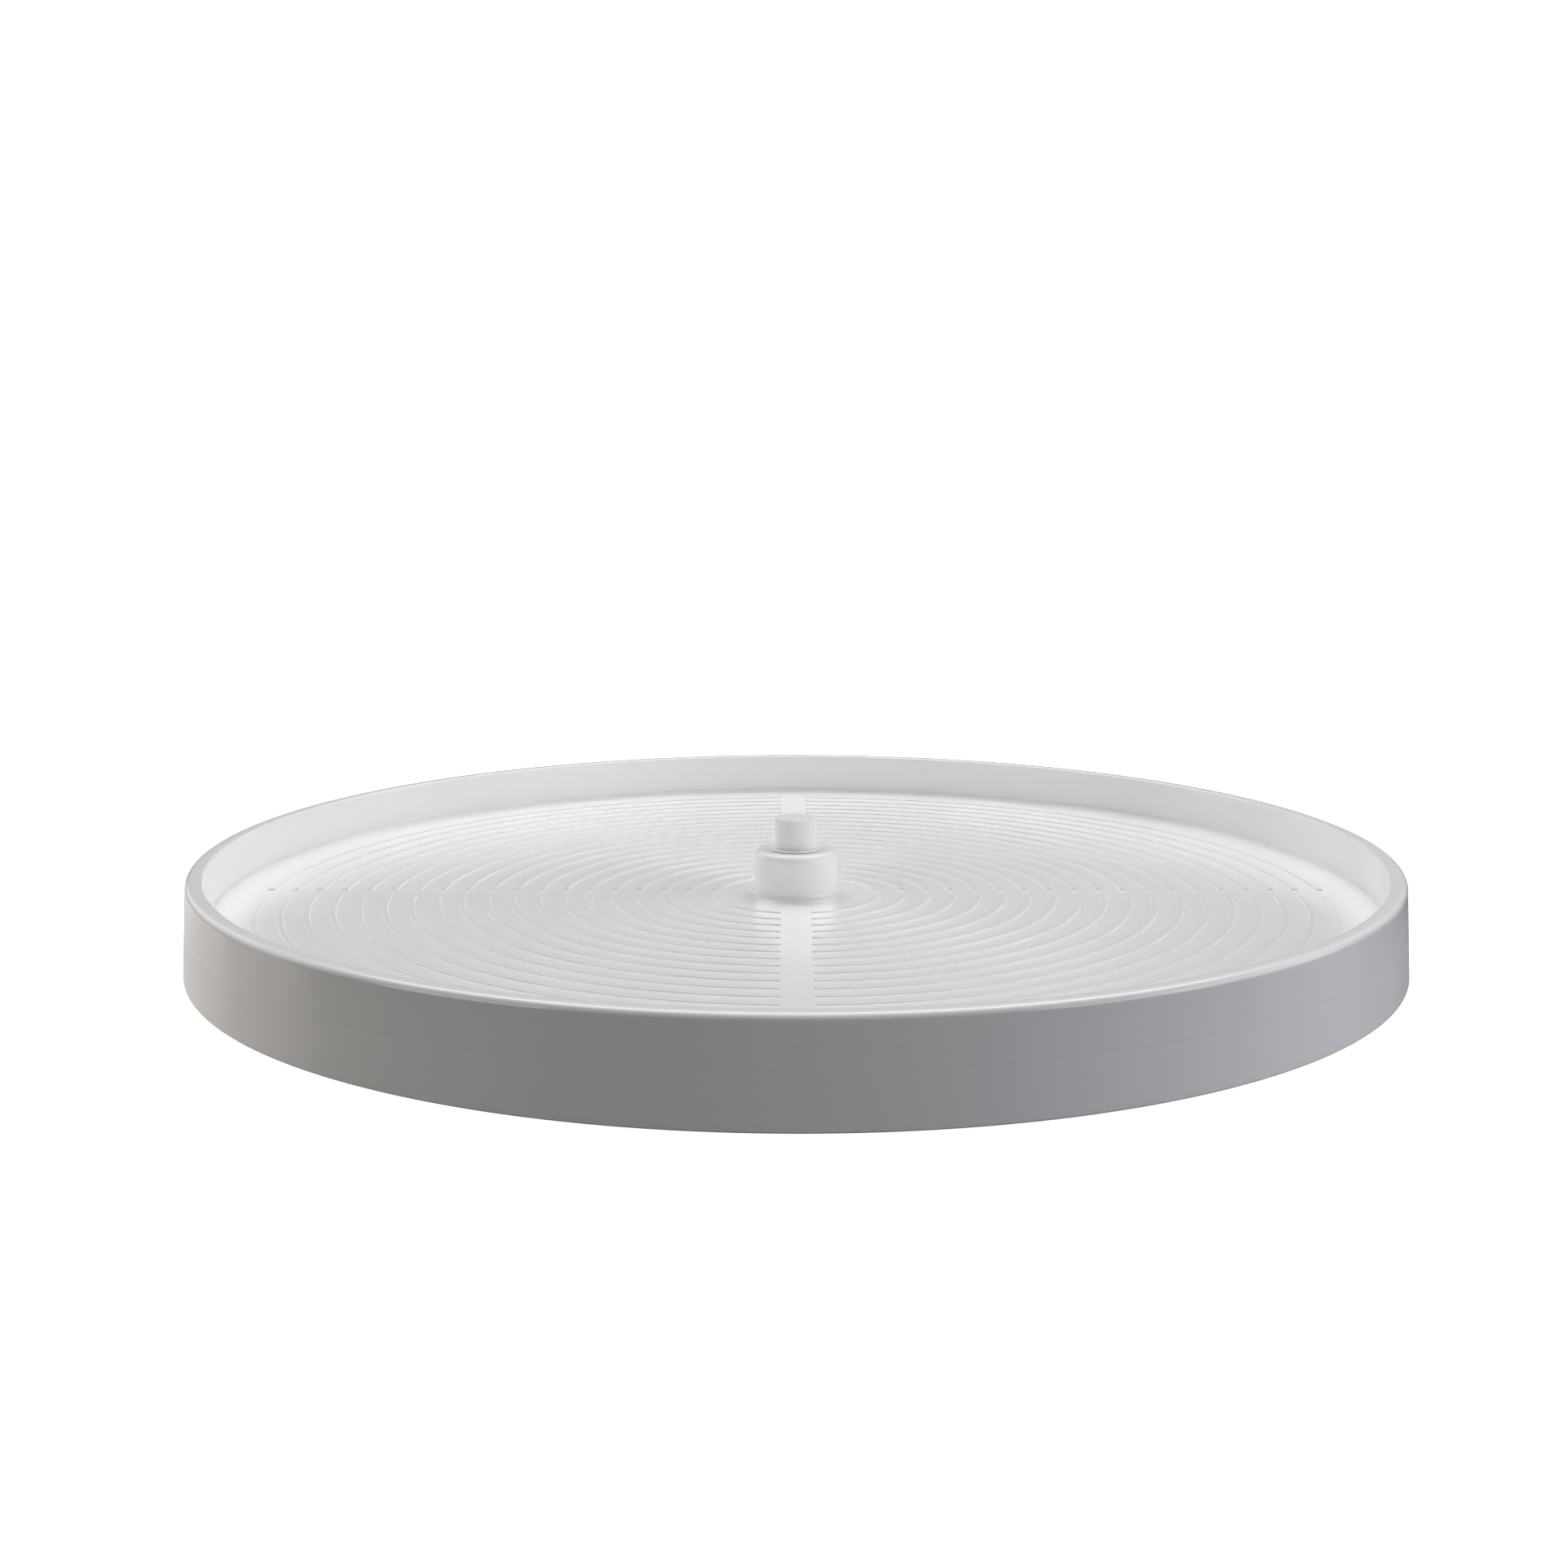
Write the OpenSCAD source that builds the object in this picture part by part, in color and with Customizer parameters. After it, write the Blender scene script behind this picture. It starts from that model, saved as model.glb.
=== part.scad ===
// Round turntable for a kitchen cupboard or worktop: one tray on a low swivel base.
// The tray turns about Z on a caged ball bearing and is centred by a fixed post.
// Z = 0 is the surface that the feet stand on. All sizes are in millimetres.

/* [Tray] */
// Diameter across the foot of the rim, 18 inches
tray_d = 457.2; // [380:0.1:560]
// Height of the rim from its lower edge to its upper edge
rim_h = 34.6; // [28:0.1:50]
// Gap between the rim's lower edge and the surface underneath
rim_clear = 9; // [8:0.1:14]
// How far the rim leans inwards over its height
rim_lean = 2.1; // [0:0.1:4]
// Thickness of the rim across its upper edge
rim_t = 6.2; // [6:0.1:9]
// Rounding of the rim's outer upper edge
rim_round = 2.2; // [0.5:0.1:3]
// Rounding of the rim's inner upper edge
lip_round = 0.8; // [0.3:0.1:2]
// Rounding of the rim's lower outer edge
foot_round = 0.6; // [0.2:0.1:1]
// Height of the tray's floor above the rim's lower edge
floor_up = 17.3; // [14.5:0.1:21]
// Thickness of the tray's floor
floor_t = 2.8; // [2:0.1:4]
// Fillet where the floor meets the rim
floor_fillet = 2; // [0.5:0.1:4]
// Thickness of the rim's outer skin
outer_skin_t = 2.6; // [2:0.1:3]
// Thickness of the rim's inner skin
inner_skin_t = 2.4; // [2:0.1:2.8]
// Solid plastic left at the top of the hollow rim
rim_cap = 3.5; // [3:0.1:6]

/* [Anti-slip rings] */
// Distance from one ring to the next, 3/8 inch
ring_pitch = 9.525; // [6:0.005:14]
// Radius of the outer edge of the smallest ring
ring_first_r = 33.2; // [28:0.1:60]
// Plain border between the largest ring and the rim
ring_border = 15.4; // [10:0.1:30]
// Width of a ring at its foot
ring_w = 2.6; // [1.5:0.1:4]
// Height of a ring above the floor
ring_h = 0.5; // [0.3:0.05:1]
// How far each side of a ring leans in
ring_draft = 0.2; // [0:0.05:0.4]
// Width of the four plain strips that cross the rings
strip_w = 11.1; // [6:0.1:20]

/* [Stiffening ribs] */
// Number of spokes under the floor
spoke_count = 12; // [6:1:24]
// Thickness of a spoke or a stiffening hoop
stiff_t = 2; // [1.5:0.1:3]
// Depth of a spoke or a stiffening hoop below the floor
stiff_depth = 6; // [4:0.1:6.5]
// Number of stiffening hoops between the bearing and the rim
hoop_count = 2; // [0:1:4]

/* [Post and hub] */
// Diameter of the post, 5/8 inch
post_d = 15.875; // [12:0.005:19.05]
// Length of post left free above the retaining washer
post_free = 11.5; // [6:0.1:30]
// Chamfer at the post's ends
post_chamfer = 0.3; // [0.1:0.05:0.8]
// Diameter of the collar that stands up from the floor, 1-1/4 inch
collar_d = 31.75; // [28:0.01:50]
// Height of the collar above the floor
collar_h = 17.75; // [12:0.05:40]
// Rounding of the collar's upper edge
collar_round = 3; // [0.5:0.1:3.2]
// Fillet at the collar's foot
collar_fillet = 3; // [0.5:0.1:4]
// Wall of the hub outside the lower bush
hub_wall = 4.5; // [3:0.1:6]
// Gap between the hub's bush and the base
hub_gap = 1; // [0.5:0.1:2]

/* [Bushes] */
// Radial running clearance between a bush and the post
bush_run = 0.06; // [0.02:0.01:0.1]
// Wall of a bush
bush_t = 1.5; // [1:0.1:2]
// Length of the upper bush
upper_bush_l = 10; // [6:0.5:12]
// Length of the lower bush inside the hub
lower_bush_l = 8; // [5:0.5:10]
// How far the lower bush's flange stands out
bush_flange_w = 3; // [1.5:0.1:4]
// Thickness of the lower bush's flange
bush_flange_t = 1.2; // [0.8:0.1:2]
// How far the hub's inner shoulder stands off the post
shoulder_gap = 0.6; // [0.3:0.1:1]

/* [Retaining washer] */
// Thickness of the washer that snaps on to the post
retainer_t = 0.5; // [0.4:0.05:1]
// How far the washer stands out from the post
retainer_lip = 2.2; // [1.5:0.1:3]
// Depth of the groove that holds the washer
groove_depth = 0.8; // [0.5:0.05:1.2]
// Free play between the washer and the collar
retainer_float = 0.15; // [0.1:0.05:0.5]

/* [Ball bearing] */
// Diameter of a ball
ball_d = 6; // [4:0.1:7.2]
// Number of balls
ball_count = 16; // [8:1:24]
// Diameter of the circle that the balls run on
track_d = 120; // [96:0.5:144]
// Thickness of the pressed steel races
race_t = 1.2; // [0.8:0.1:1.5]
// Depth of the groove in a race
race_groove = 1.25; // [0.8:0.05:1.6]
// Gap between a ball and its groove
ball_run = 0.1; // [0.05:0.01:0.15]
// Width of a race beyond the ball circle, on the side without screws
race_lip = 4.8; // [4.5:0.1:6]
// Width of a race beyond its screw circle
race_edge = 4; // [3.5:0.1:6]
// Distance from the ball circle to a race's screw circle
race_screw_off = 8; // [8:0.1:12]
// Width of the cage on each side of a ball
cage_wall = 1; // [0.95:0.05:1.2]
// Gap between the cage and each race
cage_gap = 0.75; // [0.3:0.05:0.8]
// Gap between a ball and its pocket
pocket_gap = 0.12; // [0.05:0.01:0.2]

/* [Base] */
// Diameter of the base
base_d = 200; // [180:1:280]
// Height of the base's shell
base_h = 6; // [5.5:0.1:8]
// Thickness of the base's top and wall
base_t = 2.5; // [2.3:0.1:3]
// Rounding of the base's upper edge
base_round = 2; // [0.5:0.1:2.2]
// Height of the seat under the lower race
seat_h = 1; // [0.8:0.1:2]
// Wall of the socket that holds the post
socket_wall = 6; // [4:0.1:8]
// Depth of the socket that holds the post
socket_depth = 6; // [5:0.1:8]
// Number of spokes inside the base
base_spokes = 12; // [6:1:18]

/* [Feet and fixing holes] */
// Number of rubber feet
foot_count = 6; // [4:1:8]
// Diameter of a foot
foot_d = 16; // [10:0.5:20]
// How far a foot stands out of the base
foot_out = 2; // [1:0.1:4]
// How deep a foot is set into the base
foot_in = 1; // [0.5:0.1:2]
// Plastic round a foot at its boss
foot_wall = 3; // [2:0.1:4]
// Number of screw holes for fixing the base to a shelf
fix_count = 4; // [3:1:4]
// Diameter of a fixing hole, for a 4 mm wood screw
fix_d = 4.5; // [3.5:0.1:5.5]
// Distance from the base's edge to a fixing hole's centre
fix_edge = 14; // [12:0.1:16]
// Plastic round a fixing hole at its boss
fix_wall = 4.75; // [3.5:0.05:5]

/* [Screws] */
// Number of screws that hold each race
race_screw_count = 4; // [3:1:4]
// Diameter of a race screw's shank
race_screw_d = 3; // [2.5:0.1:3.5]
// Length of a race screw under its head
race_screw_l = 6; // [4:0.1:6.5]
// Diameter of a race screw's head
race_screw_head_d = 5.5; // [5:0.1:6]
// Height of a race screw's head
race_screw_head_h = 1.8; // [1.4:0.1:2]
// Diameter of the screw that holds the post
post_screw_d = 6; // [5:0.1:6.5]
// Length of the post screw under its head
post_screw_l = 16; // [12:0.5:20]
// Diameter of the post screw's head
post_screw_head_d = 10.5; // [9:0.1:11]
// Height of the post screw's head
post_screw_head_h = 3.3; // [2.5:0.1:3.5]
// Thickness of the washer under the post screw's head
post_washer_t = 1.2; // [0.8:0.1:1.6]
// Diameter of the washer under the post screw's head
post_washer_d = 12; // [11:0.1:13]
// Plastic between the post and the screw's washer
web_t = 2.2; // [1.5:0.1:3]
// How far the post screw's head sits inside the base
screw_recess = 0.8; // [0.3:0.1:1.5]

/* [Hidden] */
$fn = 96;
// Clearance between pieces that are pressed, glued or screwed together
seat_gap = 0.05;
// Clearance round a screw that passes through a piece
screw_gap = 0.3;
// How far a cutter runs past the face that it cuts, or one shape runs into another
over = 0.5;
// Plastic round the end of a screw, and left beyond it
pilot_wall = 2;

// Tray, from the surface upwards and from the post outwards
rim_r = tray_d / 2;
rim_top_r = rim_r - rim_lean;
wall_r = rim_top_r - rim_t;
rim_top = rim_clear + rim_h;
floor_top = rim_clear + floor_up;
floor_under = floor_top - floor_t;
stiff_bottom = floor_under - stiff_depth;
collar_top = floor_top + collar_h;
collar_r = collar_d / 2;
ring_count = 1 + floor((wall_r - ring_border - ring_first_r) / ring_pitch);

// Base and feet
base_r = base_d / 2;
base_bottom = foot_out;
base_top = base_bottom + base_h;
base_under = base_top - base_t;
seat_top = base_top + seat_h;
foot_r = foot_d / 2;
foot_boss_r = foot_r + foot_wall;
// The outer side of a foot's boss ends in the middle of the base's wall
foot_circle_r = base_r - base_t / 2 - foot_boss_r;
fix_circle_r = base_r - fix_edge;
fix_boss_r = fix_d / 2 + fix_wall;
// Fixing holes lie between the feet
fix_turn = 45;

// Ball bearing: every height follows from the seat under the lower race
ball_r = ball_d / 2;
track_r = track_d / 2;
groove_r = ball_r + ball_run;
race_open = 2 * (groove_r - race_groove);
ball_z = seat_top + race_t + race_open / 2;
lower_race_top = ball_z - race_open / 2;
upper_race_bottom = ball_z + race_open / 2;
upper_race_top = upper_race_bottom + race_t;
bulge_r = groove_r + race_t;
bulge_w = sqrt(pow(bulge_r, 2) - pow(race_open / 2 + race_t, 2));
lower_screw_r = track_r - race_screw_off;
upper_screw_r = track_r + race_screw_off;
lower_race_in = lower_screw_r - race_edge;
lower_race_out = track_r + race_lip;
upper_race_in = track_r - race_lip;
upper_race_out = upper_screw_r + race_edge;
cage_t = race_open - 2 * cage_gap;
cage_in = track_r - ball_r - cage_wall;
cage_out = track_r + ball_r + cage_wall;
pocket_r = ball_r + pocket_gap;

// Post, screw and washers
post_r = post_d / 2;
post_washer_bottom = base_bottom + screw_recess + post_screw_head_h;
post_foot = post_washer_bottom + post_washer_t + web_t;
socket_r = post_r + socket_wall;
socket_top = post_foot + socket_depth;
post_washer_r = post_washer_d / 2;
post_screw_r = post_screw_d / 2;
retainer_bottom = collar_top + retainer_float;
retainer_top = retainer_bottom + retainer_t;
retainer_r = post_r + retainer_lip;
post_top = retainer_top + seat_gap + post_free;

// Bushes and hub
bush_in_r = post_r + bush_run;
bush_out_r = bush_in_r + bush_t;
bush_seat_r = bush_out_r + seat_gap;
hub_bottom = socket_top + hub_gap + bush_flange_t;
hub_r = bush_out_r + hub_wall;
shoulder_r = post_r + shoulder_gap;

race_screw_r = race_screw_d / 2;
pilot_boss_r = race_screw_r + pilot_wall;
screw_tip = 0.6;
head_side = 0.4;
head_socket_d = 4;
head_socket_depth = 2;
slot_w = 0.8;
slot_depth = 0.9;

function foot_name(i) = str("foot_", i);
function ball_name(i) = str("ball_", i < 10 ? "0" : "", i);

// The corner between two walls at right angles, less a circle that touches both.
// Added inside a corner it is a fillet; taken off an outside corner it leaves a rounding.
module corner(r) {
  difference() {
    translate([-over, -over]) square(r + over);
    translate([r, r]) circle(r);
  }
}

// The same for the rim's outer upper edge, where the wall leans in by the angle lean.
module leaning_corner(r, lean) {
  touch = r / tan((90 + lean) / 2);
  centre = [-touch, -r];
  on_wall = [touch * sin(lean), -touch * cos(lean)];
  difference() {
    polygon([centre, [-touch, over], [over, over], [over, on_wall.y], on_wall]);
    translate(centre) circle(r);
  }
}

// A flat ring drawn as a box in the outline
module band(r_in, r_out, z_low, z_high) {
  translate([r_in, z_low]) square([r_out - r_in, z_high - z_low]);
}

// Copies of a shape at equal steps round the Z axis, each on a circle of radius r
module round_axis(count, r = 0, turn = 0) {
  for (i = [0:count - 1])
    rotate([0, 0, turn + i * 360 / count]) translate([r, 0, 0]) children();
}

// ---------------------------------------------------------------- tray

// The rim in section: two skins under a solid cap, open at the bottom
module rim_outline() {
  lean_angle = atan(rim_lean / rim_h);
  difference() {
    union() {
      polygon([
        [rim_r - outer_skin_t, rim_clear],
        [rim_r, rim_clear],
        [rim_top_r, rim_top],
        [rim_top_r - outer_skin_t, rim_top]
      ]);
      band(wall_r, wall_r + inner_skin_t, floor_under, rim_top);
      band(wall_r + over, rim_top_r - over, rim_top - rim_cap, rim_top);
      translate([wall_r, floor_top]) mirror([1, 0]) corner(floor_fillet);
    }
    translate([rim_top_r, rim_top]) leaning_corner(rim_round, lean_angle);
    translate([wall_r, rim_top]) mirror([0, 1]) corner(lip_round);
    translate([rim_r, rim_clear]) mirror([1, 0]) corner(foot_round);
  }
}

// The hub in section: the collar above the floor and the tube below it
module hub_outline() {
  difference() {
    union() {
      band(bush_in_r, collar_r, floor_under, collar_top);
      band(bush_in_r, hub_r, hub_bottom, floor_top);
      translate([collar_r, floor_top]) corner(collar_fillet);
    }
    translate([collar_r, collar_top]) rotate(180) corner(collar_round);
    band(0, shoulder_r, hub_bottom - over, collar_top + over);
    band(0, bush_seat_r, hub_bottom - over, hub_bottom + lower_bush_l + seat_gap);
    band(0, bush_seat_r, collar_top - upper_bush_l - seat_gap, collar_top + over);
  }
}

// Three hoops under the floor that the upper race is pressed against
module race_hoops_outline() {
  hoop_gap = 0.4;
  inner = track_r - bulge_w - hoop_gap;
  outer = track_r + bulge_w + hoop_gap;
  band(inner - stiff_t, inner, upper_race_top, floor_top);
  band(outer, outer + stiff_t, upper_race_top, floor_top);
  band(upper_race_out - stiff_t, upper_race_out, upper_race_top, floor_top);
}

// Hoops that stiffen the floor between the bearing and the rim
module stiffening_hoops_outline() {
  step = (wall_r - upper_race_out) / (hoop_count + 1);
  if (hoop_count > 0)
    for (i = [1:hoop_count])
      translate([upper_race_out + i * step - stiff_t / 2, stiff_bottom])
        square([stiff_t, stiff_depth + over]);
}

// Spokes from the hub to the rim's outer skin
module spokes() {
  start = hub_r - over;
  reach = rim_r - (rim_lean + outer_skin_t) / 2;
  round_axis(spoke_count)
    translate([start, -stiff_t / 2, stiff_bottom])
      cube([reach - start, stiff_t, stiff_depth + over]);
}

// Raised rings that stop things sliding, cut into quarters by two crossing strips
module anti_slip_rings() {
  difference() {
    rotate_extrude()
      for (i = [0:ring_count - 1])
        translate([ring_first_r + i * ring_pitch, floor_top])
          polygon([
            [-ring_w, -over],
            [-ring_w, 0],
            [-ring_w + ring_draft, ring_h],
            [-ring_draft, ring_h],
            [0, 0],
            [0, -over]
          ]);
    for (turn = [0, 90])
      rotate([0, 0, turn])
        translate([-rim_r, -strip_w / 2, floor_top - 2 * over])
          cube([tray_d, strip_w, 2 * over + ring_h + over]);
  }
}

// One moulding: rim, floor, rings, collar, hub and everything under the floor
module tray() {
  color("white")
    difference() {
      union() {
        rotate_extrude() {
          rim_outline();
          hub_outline();
          band(hub_r - over, wall_r + over, floor_under, floor_top);
          race_hoops_outline();
          stiffening_hoops_outline();
        }
        anti_slip_rings();
        spokes();
        round_axis(race_screw_count, upper_screw_r, fix_turn)
          translate([0, 0, upper_race_top])
            cylinder(r = pilot_boss_r, h = floor_top - over - upper_race_top);
      }
      rotate_extrude() translate([track_r, ball_z]) circle(bulge_r + screw_gap);
      round_axis(race_screw_count, upper_screw_r, fix_turn)
        translate([0, 0, upper_race_top - over])
          cylinder(r = race_screw_r + seat_gap, h = race_screw_l - race_t + seat_gap + over);
    }
}

// ---------------------------------------------------------------- bushes

module upper_bush() {
  bush_low = 0.3;
  color("ivory")
    rotate_extrude()
      band(bush_in_r, bush_out_r, collar_top - upper_bush_l, collar_top - bush_low);
}

module lower_bush() {
  color("ivory")
    rotate_extrude() {
      band(bush_in_r, bush_out_r, hub_bottom - bush_flange_t, hub_bottom + lower_bush_l);
      band(bush_in_r, bush_out_r + bush_flange_w, hub_bottom - bush_flange_t, hub_bottom);
    }
}

// ---------------------------------------------------------------- ball bearing

// A pressed steel ring with a groove for the balls. It lies below the balls, centred on them.
module race_outline(r_in, r_out) {
  low = -race_open / 2 - race_t;
  difference() {
    union() {
      band(r_in, r_out, low, low + race_t);
      intersection() {
        translate([track_r, 0]) circle(bulge_r);
        band(track_r - bulge_r, track_r + bulge_r, -bulge_r - over, low + race_t / 2);
      }
    }
    translate([track_r, 0]) circle(groove_r);
  }
}

module race(r_in, r_out, screw_r, turn) {
  difference() {
    rotate_extrude() race_outline(r_in, r_out);
    round_axis(race_screw_count, screw_r, turn)
      translate([0, 0, -race_open / 2 - race_t - over])
        cylinder(r = race_screw_r + screw_gap, h = race_t + 2 * over);
  }
}

module lower_race() {
  color("silver")
    translate([0, 0, ball_z]) race(lower_race_in, lower_race_out, lower_screw_r, fix_turn);
}

module upper_race() {
  color("silver")
    translate([0, 0, ball_z])
      mirror([0, 0, 1]) race(upper_race_in, upper_race_out, upper_screw_r, fix_turn);
}

module ball(i) {
  color("lightgray")
    rotate([0, 0, (i - 1) * 360 / ball_count])
      translate([track_r, 0, ball_z]) sphere(ball_r);
}

module ball_cage() {
  color("wheat")
    difference() {
      rotate_extrude() band(cage_in, cage_out, ball_z - cage_t / 2, ball_z + cage_t / 2);
      round_axis(ball_count, track_r) translate([0, 0, ball_z]) sphere(pocket_r);
    }
}

// ---------------------------------------------------------------- screws

// A domed head standing on Z = 0, with its flat face down and a short upright side
module domed_head(d, h) {
  r = d / 2;
  rise = h - head_side;
  dome_r = (pow(r, 2) + pow(rise, 2)) / (2 * rise);
  rotate_extrude()
    intersection() {
      translate([0, h - dome_r]) circle(dome_r);
      square([r, h]);
    }
}

// A self-tapping screw with a crossed recess; its head stands on Z = 0, its shank points down
module race_screw() {
  difference() {
    domed_head(race_screw_head_d, race_screw_head_h);
    for (turn = [0, 90])
      rotate([0, 0, turn])
        translate([-race_screw_r, -slot_w / 2, race_screw_head_h - slot_depth])
          cube([race_screw_d, slot_w, slot_depth + over]);
  }
  rotate_extrude()
    polygon([
      [0, over],
      [race_screw_r, over],
      [race_screw_r, screw_tip - race_screw_l],
      [race_screw_r - screw_tip, -race_screw_l],
      [0, -race_screw_l]
    ]);
}

module lower_race_screws() {
  color("silver")
    round_axis(race_screw_count, lower_screw_r, fix_turn)
      translate([0, 0, lower_race_top]) race_screw();
}

module upper_race_screws() {
  color("silver")
    round_axis(race_screw_count, upper_screw_r, fix_turn)
      translate([0, 0, upper_race_bottom]) mirror([0, 0, 1]) race_screw();
}

module post_screw() {
  color("silver")
    translate([0, 0, post_washer_bottom]) {
      difference() {
        mirror([0, 0, 1]) domed_head(post_screw_head_d, post_screw_head_h);
        translate([0, 0, -post_screw_head_h - over])
          cylinder(d = head_socket_d, h = head_socket_depth + over, $fn = 6);
      }
      translate([0, 0, -over]) cylinder(r = post_screw_r, h = over + post_screw_l);
    }
}

module post_screw_washer() {
  color("silver")
    translate([0, 0, post_washer_bottom])
      difference() {
        cylinder(r = post_washer_r, h = post_washer_t);
        translate([0, 0, -over])
          cylinder(r = post_screw_r + screw_gap, h = post_washer_t + 2 * over);
      }
}

// ---------------------------------------------------------------- post

// A plain rod with a groove for the retaining washer and a threaded hole in its foot
module post() {
  color("white")
    rotate_extrude()
      difference() {
        polygon([
          [0, post_foot],
          [post_r - post_chamfer, post_foot],
          [post_r, post_foot + post_chamfer],
          [post_r, post_top - post_chamfer],
          [post_r - post_chamfer, post_top],
          [0, post_top]
        ]);
        band(
          post_r - groove_depth, post_r + over,
          retainer_bottom - seat_gap, retainer_top + seat_gap
        );
        band(
          -over, post_screw_r + seat_gap,
          post_foot - over, post_washer_bottom + post_screw_l + seat_gap
        );
      }
}

module retaining_washer() {
  color("white")
    rotate_extrude()
      band(post_r - groove_depth + seat_gap, retainer_r, retainer_bottom, retainer_top);
}

// ---------------------------------------------------------------- base

// The base in section: a shallow shell, a seat for the race and a socket for the post
module base_outline() {
  difference() {
    union() {
      band(0, base_r, base_under, base_top);
      band(base_r - base_t, base_r, base_bottom, base_top);
      band(lower_race_in, lower_race_out, base_top - over, seat_top);
      band(lower_screw_r - stiff_t / 2, lower_screw_r + stiff_t / 2, base_bottom + over, base_top);
      band(0, socket_r, base_bottom, socket_top);
    }
    translate([base_r, base_top]) rotate(180) corner(base_round);
    translate([track_r, ball_z]) circle(bulge_r + screw_gap);
    band(-over, post_r + seat_gap, post_foot, socket_top + over);
    band(-over, post_screw_r + screw_gap, base_bottom, post_foot + over);
    band(-over, post_washer_r + screw_gap, base_bottom - over, post_foot - web_t);
  }
}

module base_plate() {
  spoke_in = socket_r - over;
  color("gainsboro")
    difference() {
      union() {
        rotate_extrude() base_outline();
        round_axis(base_spokes, 0, 360 / base_spokes / 2)
          translate([spoke_in, -stiff_t / 2, base_bottom + over])
            cube([base_r - base_t / 2 - spoke_in, stiff_t, base_under - base_bottom]);
        round_axis(foot_count, foot_circle_r)
          translate([0, 0, base_bottom]) cylinder(r = foot_boss_r, h = base_h - base_t / 2);
        round_axis(fix_count, fix_circle_r, fix_turn)
          translate([0, 0, base_bottom]) cylinder(r = fix_boss_r, h = base_h - base_t / 2);
        round_axis(race_screw_count, lower_screw_r, fix_turn)
          translate([0, 0, base_bottom + over]) cylinder(r = pilot_boss_r, h = base_h - base_t);
      }
      round_axis(foot_count, foot_circle_r)
        translate([0, 0, base_bottom - over])
          cylinder(r = foot_r + seat_gap, h = foot_in + seat_gap + over);
      round_axis(fix_count, fix_circle_r, fix_turn) countersunk_hole();
      round_axis(race_screw_count, lower_screw_r, fix_turn)
        translate([0, 0, lower_race_top - race_screw_l - seat_gap])
          cylinder(r = race_screw_r + seat_gap, h = race_screw_l);
    }
}

// A hole through the base for a wood screw, widened at the top for its head
module countersunk_hole() {
  fix_r = fix_d / 2;
  translate([0, 0, base_bottom - over]) cylinder(r = fix_r, h = base_h + 2 * over);
  translate([0, 0, base_top - fix_r]) cylinder(r1 = fix_r, r2 = 2 * fix_r + over, h = fix_r + over);
}

// A rubber pad with a rounded lower edge
module foot(i) {
  edge = 0.8;
  color("dimgray")
    rotate([0, 0, (i - 1) * 360 / foot_count])
      translate([foot_circle_r, 0, 0])
        rotate_extrude()
          difference() {
            square([foot_r, foot_out + foot_in]);
            translate([foot_r, 0]) mirror([1, 0]) corner(edge);
          }
}

tray();
upper_bush();
lower_bush();
upper_race();
upper_race_screws();
base_plate();
post();
post_screw();
post_screw_washer();
retaining_washer();
lower_race();
lower_race_screws();
ball_cage();
for (i = [1:foot_count]) foot(i);
for (i = [1:ball_count]) ball(i);
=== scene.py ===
# %% [markdown]
# # A lazy susan, piece by piece
# The object is one round tray of white plastic that turns on a low base. A short post
# stands up through the tray's collar, and a ring of balls between two steel races
# carries the load. The engineering model of every piece is loaded first and stays where
# it is. What is made here are the pieces that the eye rests on, with their true
# roundings, and a finish for every piece.

# %% Open the engineering model
import math

import bmesh
import bpy
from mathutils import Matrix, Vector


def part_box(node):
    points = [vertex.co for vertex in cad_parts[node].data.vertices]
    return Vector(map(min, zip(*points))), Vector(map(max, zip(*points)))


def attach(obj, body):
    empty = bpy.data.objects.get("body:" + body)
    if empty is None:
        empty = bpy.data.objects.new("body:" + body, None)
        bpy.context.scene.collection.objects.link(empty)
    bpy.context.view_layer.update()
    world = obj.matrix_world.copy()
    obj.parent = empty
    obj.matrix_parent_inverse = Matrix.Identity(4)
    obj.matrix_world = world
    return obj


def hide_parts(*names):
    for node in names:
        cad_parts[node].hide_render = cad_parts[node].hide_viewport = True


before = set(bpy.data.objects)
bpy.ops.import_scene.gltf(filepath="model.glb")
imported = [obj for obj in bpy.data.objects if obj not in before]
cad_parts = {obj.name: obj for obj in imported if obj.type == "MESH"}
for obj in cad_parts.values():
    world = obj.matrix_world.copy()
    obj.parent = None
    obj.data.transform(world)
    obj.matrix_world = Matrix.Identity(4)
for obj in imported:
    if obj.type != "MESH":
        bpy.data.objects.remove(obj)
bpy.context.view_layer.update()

mm = 0.001

# %% [markdown]
# ## Sizes
# The engineering model knows the outer size of every piece, so radii and heights that
# lie on a piece's outside are read from it. What lies inside an outline, such as the
# height of the floor in the tray, is written here once, in metres. Measuring first means
# that a new pack with other sizes moves these pieces with it.

# %% Read the outer sizes from the engineering model
tray_low, tray_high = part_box("tray")
post_low, post_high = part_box("post")
washer_low, washer_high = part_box("retaining_washer")
rim_foot = tray_low.z
rim_r = tray_high.x
collar_top = tray_high.z
post_r = post_high.x
print("rim radius", round(rim_r / mm, 2), "collar top", round(collar_top / mm, 2))
print("post radius", round(post_r / mm, 3))

# %% Write the sizes that the outlines hold inside
rim_top = rim_foot + 34.6 * mm
rim_lean = 2.1 * mm
rim_t = 6.2 * mm
outer_skin = 2.6 * mm
inner_skin = 2.4 * mm
rim_cap = 3.5 * mm
floor_top = rim_foot + 17.3 * mm
floor_t = 2.8 * mm
floor_under = floor_top - floor_t
wall_r = rim_r - rim_lean - rim_t
rim_top_r = rim_r - rim_lean
collar_r = 15.875 * mm
print("floor at", round(floor_top / mm, 2), "inner wall radius", round(wall_r / mm, 2))

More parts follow.
